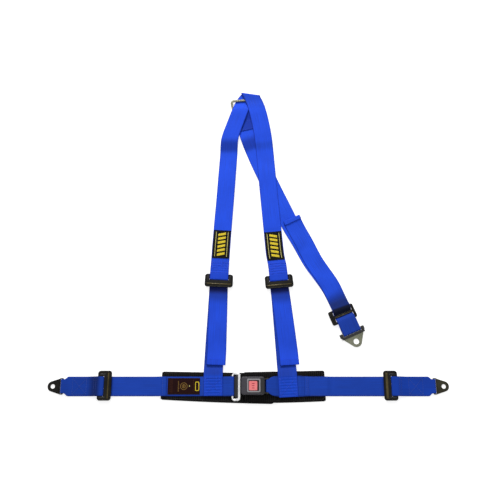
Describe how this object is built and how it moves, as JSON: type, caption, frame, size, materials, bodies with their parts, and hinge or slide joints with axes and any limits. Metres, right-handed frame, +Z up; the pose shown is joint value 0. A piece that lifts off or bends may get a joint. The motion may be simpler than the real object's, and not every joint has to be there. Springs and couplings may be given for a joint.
{
  "type": "racing harness",
  "caption": "Racing harness with blue webbing lap and shoulder belts, black hip pads, sliding-bar adjusters, a push-button tongue buckle and bolt-in anchor plates.",
  "frame": {"origin": "middle of the laid-out footprint, on the floor that it lies on", "axes": "+X along the lap belts towards the buckle's side, +Y from the lap belts up the shoulder belts, +Z up from the floor"},
  "size_m": [1.0392, 0.9002, 0.0296],
  "materials": {
    "webbing": "bright blue woven polyester webbing",
    "lap_webbing": "deeper blue woven polyester webbing",
    "pad": "black ribbed knit over a thin pad",
    "label": null,
    "black_steel": "black phosphate steel",
    "bare_steel": "zinc-plated steel",
    "spring_steel": "spring steel",
    "chrome": "polished chrome",
    "black_plastic": "moulded black plastic",
    "grey_plastic": "grained dark grey plastic",
    "bezel": "light grey trim",
    "button": "red push button"
  },
  "bodies": {
    "harness": {"right_lap_strap": "lap_webbing", "right_lap_pad": "pad", "right_lap_adjuster_frame": "black_steel", "shoulder_strap": "webbing", "left_shoulder_adjuster_frame": "black_steel", "right_shoulder_adjuster_frame": "black_steel", "right_lower_strap": "webbing", "left_lower_strap": "webbing", "left_shoulder_label": "label", "right_shoulder_label": "label", "shoulder_ring": "chrome", "rear_strap": "webbing", "rear_adjuster": "black_steel", "buckle_cover": "grey_plastic", "buckle_floor": "grey_plastic", "buckle_base": "bare_steel", "webbing_pin": "bare_steel", "latch_leaf": "spring_steel", "leaf_rivet_1": "bare_steel", "leaf_rivet_2": "bare_steel", "ejector_spring": "spring_steel", "button_bezel": "bezel"},
    "left_lap": {"left_lap_strap": "lap_webbing", "left_lap_pad": "pad", "lap_label": "label", "left_lap_adjuster_frame": "black_steel", "latch_tongue": "chrome"},
    "left_end": {"left_end_strap": "lap_webbing"},
    "left_anchor": {"left_lap_anchor_plate": "black_steel"},
    "right_end": {"right_end_strap": "lap_webbing"},
    "right_anchor": {"right_lap_anchor_plate": "black_steel"},
    "rear_anchor": {"rear_anchor_plate": "bare_steel", "rear_plate_cap_1": "black_plastic", "rear_plate_cap_2": "black_plastic"},
    "left_lap_bar": {"left_lap_adjuster_bar": "black_steel"},
    "right_lap_bar": {"right_lap_adjuster_bar": "black_steel"},
    "left_shoulder_bar": {"left_shoulder_adjuster_bar": "black_steel"},
    "right_shoulder_bar": {"right_shoulder_adjuster_bar": "black_steel"},
    "button": {"push_button": "button"},
    "ejector": {"ejector": "black_plastic"}
  },
  "joints": [
    {"name": "tongue_release", "type": "slide", "parent": "harness", "child": "left_lap", "axis": [-1, 0, 0], "range_m": [0, 0.055], "deforming": ["latch_leaf", "left_lower_strap", "ejector_spring"]},
    {"name": "button_press", "type": "slide", "parent": "harness", "child": "button", "axis": [0, 0, -1], "range_m": [0, 0.003], "stiffness_N_per_m": 1500, "springref_m": -0.002, "deforming": ["latch_leaf"]},
    {"name": "ejector_slide", "type": "slide", "parent": "harness", "child": "ejector", "axis": [-1, 0, 0], "range_m": [0, 0.008], "deforming": ["ejector_spring"]},
    {"name": "left_end_swing", "type": "hinge", "parent": "left_lap", "child": "left_end", "pos_m": [-0.389, -0.40588, 0.005], "axis": [0, 1, 0], "range_deg": [-90, 90], "deforming": ["left_end_strap"]},
    {"name": "right_end_swing", "type": "hinge", "parent": "harness", "child": "right_end", "pos_m": [0.3855, -0.40588, 0.005], "axis": [0, -1, 0], "range_deg": [-90, 90], "deforming": ["right_end_strap"]},
    {"name": "left_plate_swing", "type": "hinge", "parent": "left_end", "child": "left_anchor", "pos_m": [-0.48, -0.40588, 0.0047], "axis": [0, 1, 0], "range_deg": [-75, 75]},
    {"name": "right_plate_swing", "type": "hinge", "parent": "right_end", "child": "right_anchor", "pos_m": [0.48, -0.40588, 0.0047], "axis": [0, -1, 0], "range_deg": [-75, 75]},
    {"name": "rear_plate_swing", "type": "hinge", "parent": "harness", "child": "rear_anchor", "pos_m": [0.27441, -0.26353, 0.0047], "axis": [-0.9169, -0.3991, 0], "range_deg": [-75, 75]},
    {"name": "left_lap_bar_slide", "type": "slide", "parent": "left_lap", "child": "left_lap_bar", "axis": [1, 0, 0], "range_m": [0, 0.0025]},
    {"name": "right_lap_bar_slide", "type": "slide", "parent": "harness", "child": "right_lap_bar", "axis": [-1, 0, 0], "range_m": [0, 0.0025]},
    {"name": "left_shoulder_bar_slide", "type": "slide", "parent": "harness", "child": "left_shoulder_bar", "axis": [-0.045, -0.999, 0], "range_m": [0, 0.0025]},
    {"name": "right_shoulder_bar_slide", "type": "slide", "parent": "harness", "child": "right_shoulder_bar", "axis": [0.0899, -0.996, 0], "range_m": [0, 0.0025]}
  ],
  "couplings": [
    {"joint": "ejector_slide", "follows": "tongue_release", "ratio": 0.14545}
  ]
}
